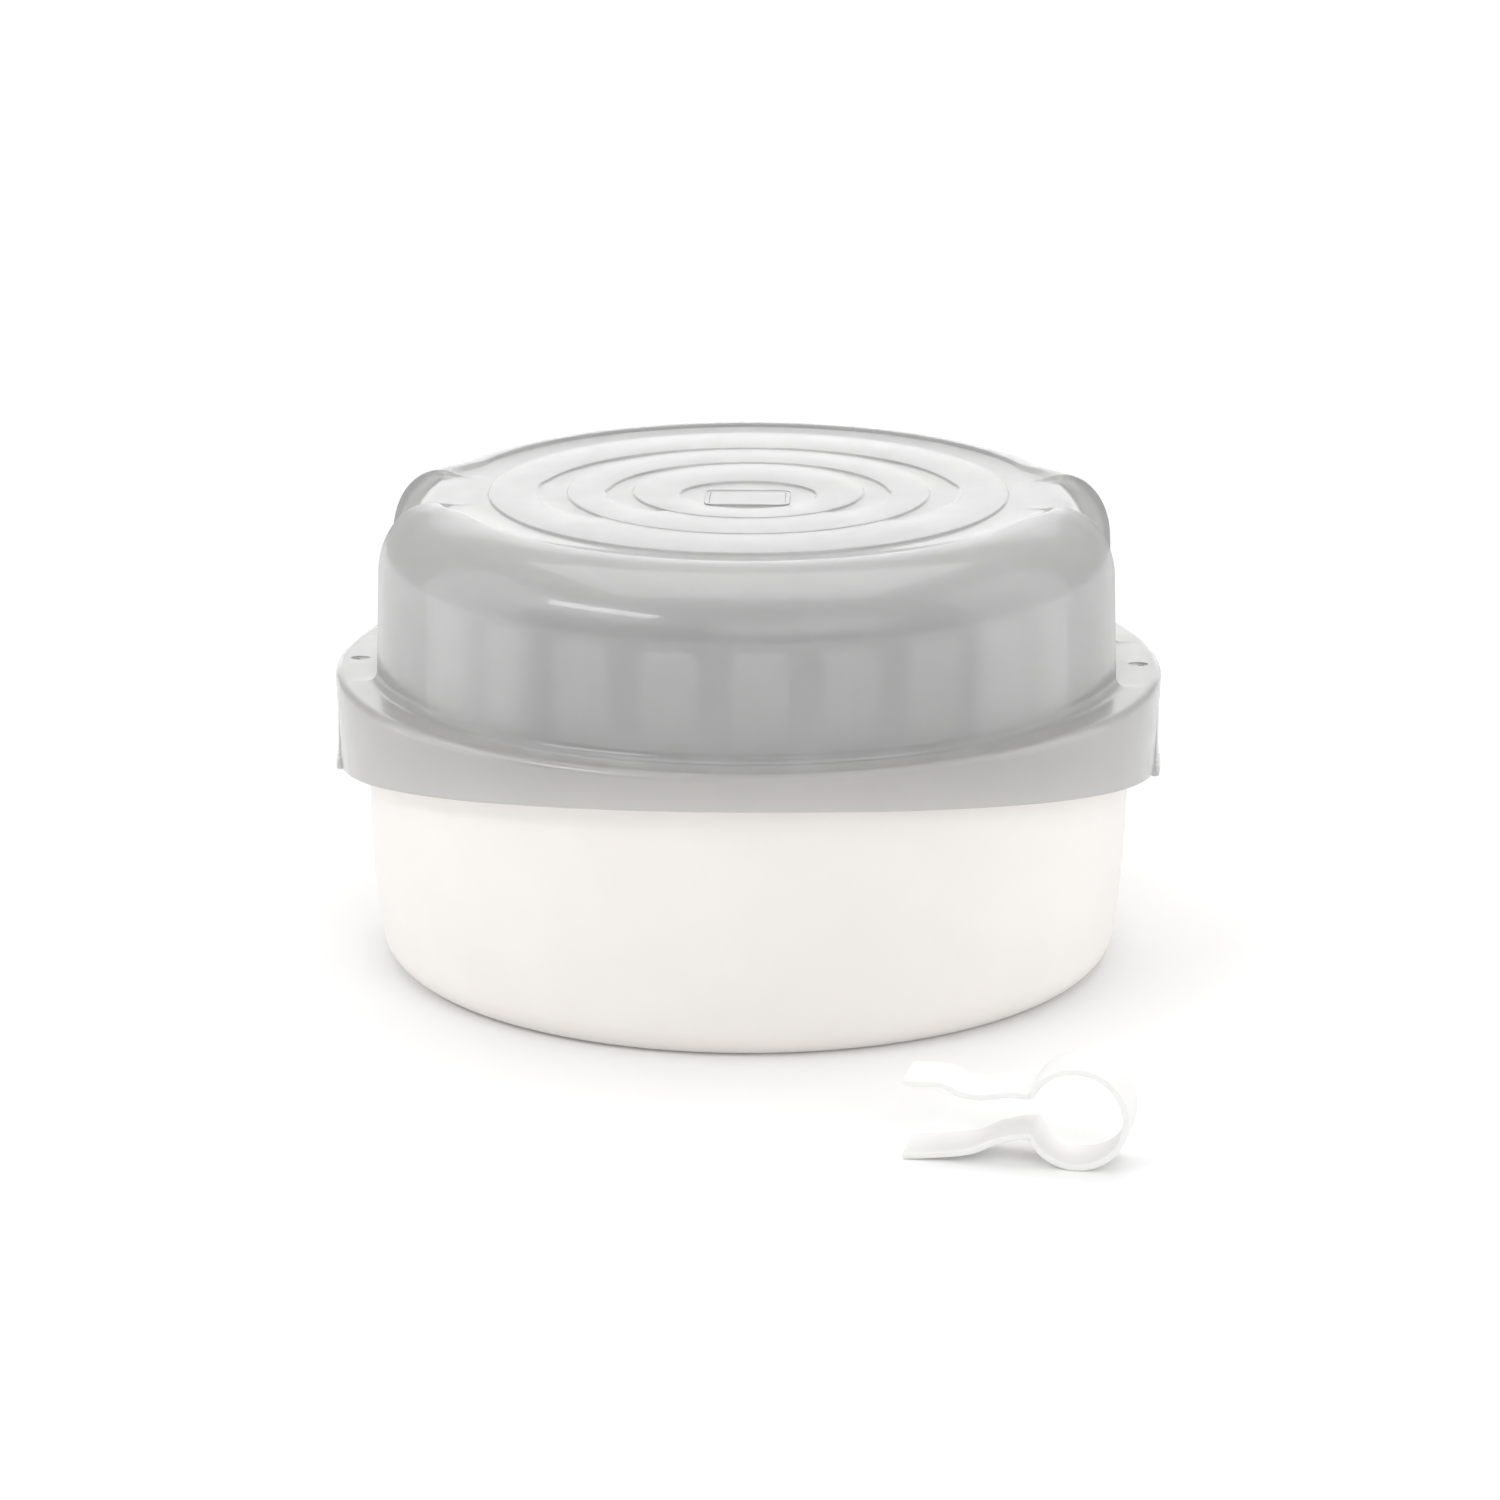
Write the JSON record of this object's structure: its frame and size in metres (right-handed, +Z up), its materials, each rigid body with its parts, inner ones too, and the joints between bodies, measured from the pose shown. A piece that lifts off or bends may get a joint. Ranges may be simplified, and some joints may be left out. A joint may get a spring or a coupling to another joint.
{
  "type": "bottle steriliser",
  "caption": "Microwave steam steriliser for baby bottles: round white water bowl, inner rack, domed grey lid with side latches, and loose strip tongs.",
  "frame": {"origin": "centre of the bowl's flat underside, on the bowl's axis", "axes": "+Z up; +X through the right-hand latch as seen from the front; -Y to the front, where the tongs lie"},
  "size_m": [0.2928, 0.3837, 0.1682],
  "materials": {
    "bowl_white": "satin moulded polypropylene, warm white",
    "rack_white": "moulded polypropylene, white",
    "lid_grey": "translucent grey polypropylene with a soft gloss",
    "latch_grey": "translucent grey polypropylene",
    "tongs_white": "moulded polypropylene, white"
  },
  "bodies": {
    "base": {"base_bowl": "bowl_white"},
    "rack": {"bottle_rack": "rack_white"},
    "lid": {"lid": "lid_grey"},
    "latch_left": {"latch_left": "latch_grey"},
    "latch_right": {"latch_right": "latch_grey"},
    "tongs_lower": {"tongs_lower": "tongs_white"},
    "tongs_upper": {"tongs_upper": "tongs_white"}
  },
  "joints": [
    {"name": "lid_lift", "type": "slide", "parent": "base", "child": "lid", "axis": [0, 0, 1], "range_m": [0, 0.26]},
    {"name": "rack_lift", "type": "slide", "parent": "base", "child": "rack", "axis": [0, 0, 1], "range_m": [0, 0.13]},
    {"name": "latch_left_swing", "type": "hinge", "parent": "lid", "child": "latch_left", "pos_m": [-0.1412, 0, 0.0906], "axis": [0, 1, 0], "range_deg": [0, 80]},
    {"name": "latch_right_swing", "type": "hinge", "parent": "lid", "child": "latch_right", "pos_m": [0.1412, 0, 0.0906], "axis": [0, -1, 0], "range_deg": [0, 80]},
    {"name": "tongs_lift", "type": "slide", "parent": "base", "child": "tongs_lower", "axis": [0, 0, 1], "range_m": [0, 0.1]},
    {"name": "tongs_squeeze", "type": "hinge", "parent": "tongs_lower", "child": "tongs_upper", "pos_m": [0.12964, -0.22766, 0.0173], "axis": [-0.1719, -0.9851, 0], "range_deg": [0, 14], "stiffness_Nm_per_rad": 0.27}
  ],
  "couplings": [
    {"joint": "rack_lift", "follows": "lid_lift", "ratio": 0.5}
  ]
}
